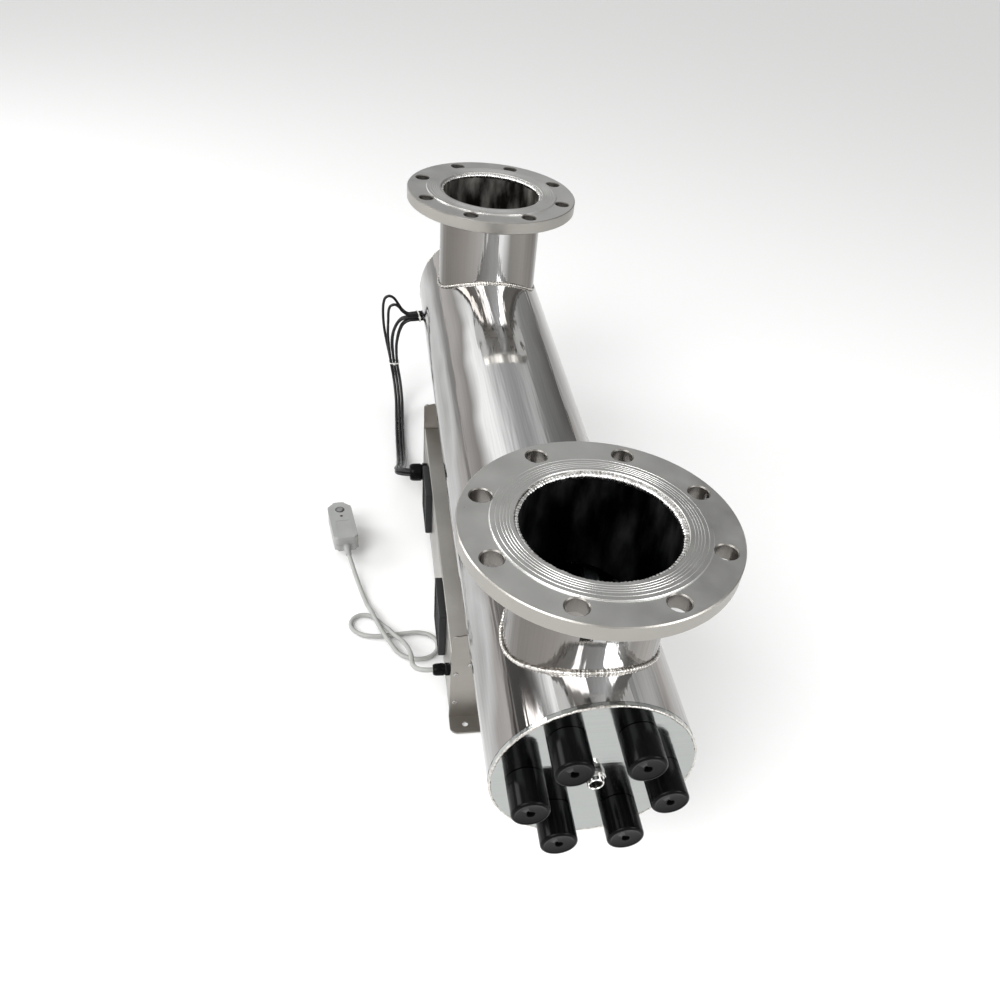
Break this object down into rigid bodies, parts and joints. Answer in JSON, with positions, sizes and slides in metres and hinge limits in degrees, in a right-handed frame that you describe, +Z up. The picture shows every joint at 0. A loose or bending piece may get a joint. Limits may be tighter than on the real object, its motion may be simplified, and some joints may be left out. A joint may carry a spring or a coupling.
{
  "type": "uv clarifier",
  "caption": "Horizontal polished steel ultraviolet water clarifier with two flanged top ports, capped lamps, saddle plates, fan-cooled control box, lead bundle and mains plug.",
  "frame": {"origin": "centre of the bottom of the object, at floor level, the cables and plug left out of the measurement", "axes": "+Z up; +Y along the chamber, from the capped front end with the centre fitting to the rear end where the leads enter; +X to the side away from the fans and cables"},
  "size_m": [0.4311, 1.2937, 0.481],
  "materials": {
    "polished_steel": "mirror-polished stainless steel",
    "turned_steel": "fine-turned stainless steel, satin",
    "brushed_steel": "brushed stainless steel sheet",
    "black_rubber": "glossy black moulded cap",
    "black_plastic": "black moulded plastic",
    "black_lead": "black sheathed lead",
    "grey_lead": "light grey sheathed cable",
    "grey_plastic": "light grey moulded plastic",
    "white_nylon": "white nylon",
    "quartz": "clear quartz",
    "lamp_glass": "lamp glass tube",
    "ballast_case": "folded aluminium case",
    "brass": "brass blade"
  },
  "bodies": {
    "clarifier": {"chamber_tube": "polished_steel", "front_end_plate": "polished_steel", "rear_end_plate": "polished_steel", "centre_fitting": "turned_steel", "front_port_neck": "polished_steel", "front_port_flange": "turned_steel", "front_saddle": "brushed_steel", "front_ballast": "ballast_case", "front_fan_cover": "black_plastic", "front_fan_frame": "black_plastic", "rear_port_neck": "polished_steel", "rear_port_flange": "turned_steel", "rear_saddle": "brushed_steel", "rear_ballast": "ballast_case", "rear_fan_cover": "black_plastic", "rear_fan_frame": "black_plastic", "quartz_sleeve_1": "quartz", "uv_lamp_1": "lamp_glass", "rear_cap_1": "black_rubber", "lamp_lead_1": "black_lead", "quartz_sleeve_2": "quartz", "uv_lamp_2": "lamp_glass", "rear_cap_2": "black_rubber", "lamp_lead_2": "black_lead", "quartz_sleeve_3": "quartz", "uv_lamp_3": "lamp_glass", "rear_cap_3": "black_rubber", "lamp_lead_3": "black_lead", "quartz_sleeve_4": "quartz", "uv_lamp_4": "lamp_glass", "rear_cap_4": "black_rubber", "lamp_lead_4": "black_lead", "quartz_sleeve_5": "quartz", "uv_lamp_5": "lamp_glass", "rear_cap_5": "black_rubber", "lamp_lead_5": "black_lead", "quartz_sleeve_6": "quartz", "uv_lamp_6": "lamp_glass", "rear_cap_6": "black_rubber", "lamp_lead_6": "black_lead", "control_box": "brushed_steel", "box_bottom_cover": "brushed_steel", "mains_gland": "black_plastic", "loom_gland": "black_plastic", "mains_cable": "grey_lead", "bundle_tie": "white_nylon", "rear_tie": "white_nylon", "plug_body": "grey_plastic", "live_pin": "brass", "neutral_pin": "brass", "earth_pin": "brass"},
    "front_rotor": {"front_fan_rotor": "black_plastic"},
    "rear_rotor": {"rear_fan_rotor": "black_plastic"},
    "button": {"test_button": "grey_plastic"},
    "cap_1": {"front_cap_1": "black_rubber"},
    "cap_2": {"front_cap_2": "black_rubber"},
    "cap_3": {"front_cap_3": "black_rubber"},
    "cap_4": {"front_cap_4": "black_rubber"},
    "cap_5": {"front_cap_5": "black_rubber"},
    "cap_6": {"front_cap_6": "black_rubber"}
  },
  "joints": [
    {"name": "front_fan_spin", "type": "hinge", "parent": "clarifier", "child": "front_rotor", "pos_m": [-0.1045, -0.15505, 0.0765], "axis": [1, 0, 0], "continuous": true},
    {"name": "rear_fan_spin", "type": "hinge", "parent": "clarifier", "child": "rear_rotor", "pos_m": [-0.1045, 0.13005, 0.0765], "axis": [1, 0, 0], "continuous": true},
    {"name": "test_button_press", "type": "slide", "parent": "clarifier", "child": "button", "axis": [0, 0, -1], "range_m": [0, 0.0015], "stiffness_N_per_m": 300},
    {"name": "front_cap_1_pull", "type": "slide", "parent": "clarifier", "child": "cap_1", "axis": [0, -1, 0], "range_m": [0, 0.02]},
    {"name": "front_cap_2_pull", "type": "slide", "parent": "clarifier", "child": "cap_2", "axis": [0, -1, 0], "range_m": [0, 0.02]},
    {"name": "front_cap_3_pull", "type": "slide", "parent": "clarifier", "child": "cap_3", "axis": [0, -1, 0], "range_m": [0, 0.02]},
    {"name": "front_cap_4_pull", "type": "slide", "parent": "clarifier", "child": "cap_4", "axis": [0, -1, 0], "range_m": [0, 0.02]},
    {"name": "front_cap_5_pull", "type": "slide", "parent": "clarifier", "child": "cap_5", "axis": [0, -1, 0], "range_m": [0, 0.02]},
    {"name": "front_cap_6_pull", "type": "slide", "parent": "clarifier", "child": "cap_6", "axis": [0, -1, 0], "range_m": [0, 0.02]}
  ]
}
